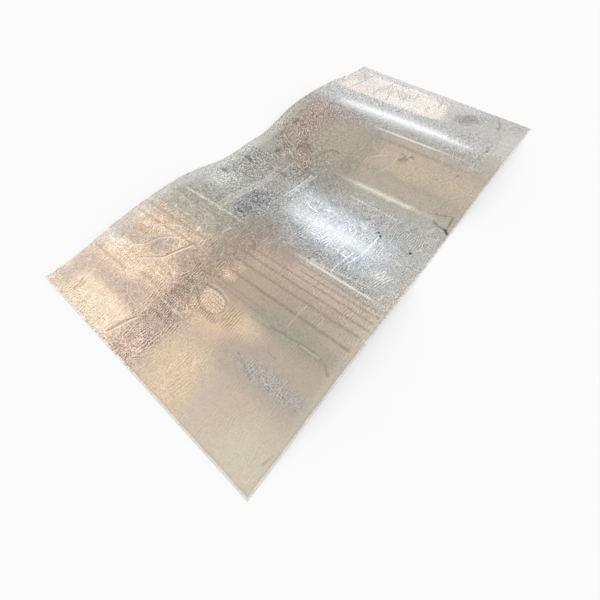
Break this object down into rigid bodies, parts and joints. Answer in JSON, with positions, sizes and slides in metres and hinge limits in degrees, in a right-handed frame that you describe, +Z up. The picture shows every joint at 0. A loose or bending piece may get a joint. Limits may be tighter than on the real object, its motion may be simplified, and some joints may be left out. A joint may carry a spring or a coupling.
{
  "type": "galvanised steel plate",
  "caption": "Thin rectangular galvanised steel plate lying flat in long shallow waves, with a spangled, scuffed and scratched zinc face.",
  "frame": {"origin": "on the floor below the middle of the sheet", "axes": "+X along the sheet from its near end to its far end, +Y across its width, +Z up"},
  "size_m": [1.9866, 1, 0.047],
  "materials": {
    "zinc_coating": "hot-dip galvanised, fine spangle, satin, with scuffs, tread marks and dull streaks across the width"
  },
  "bodies": {
    "root": {"steel_sheet": "zinc_coating"}
  },
  "joints": []
}
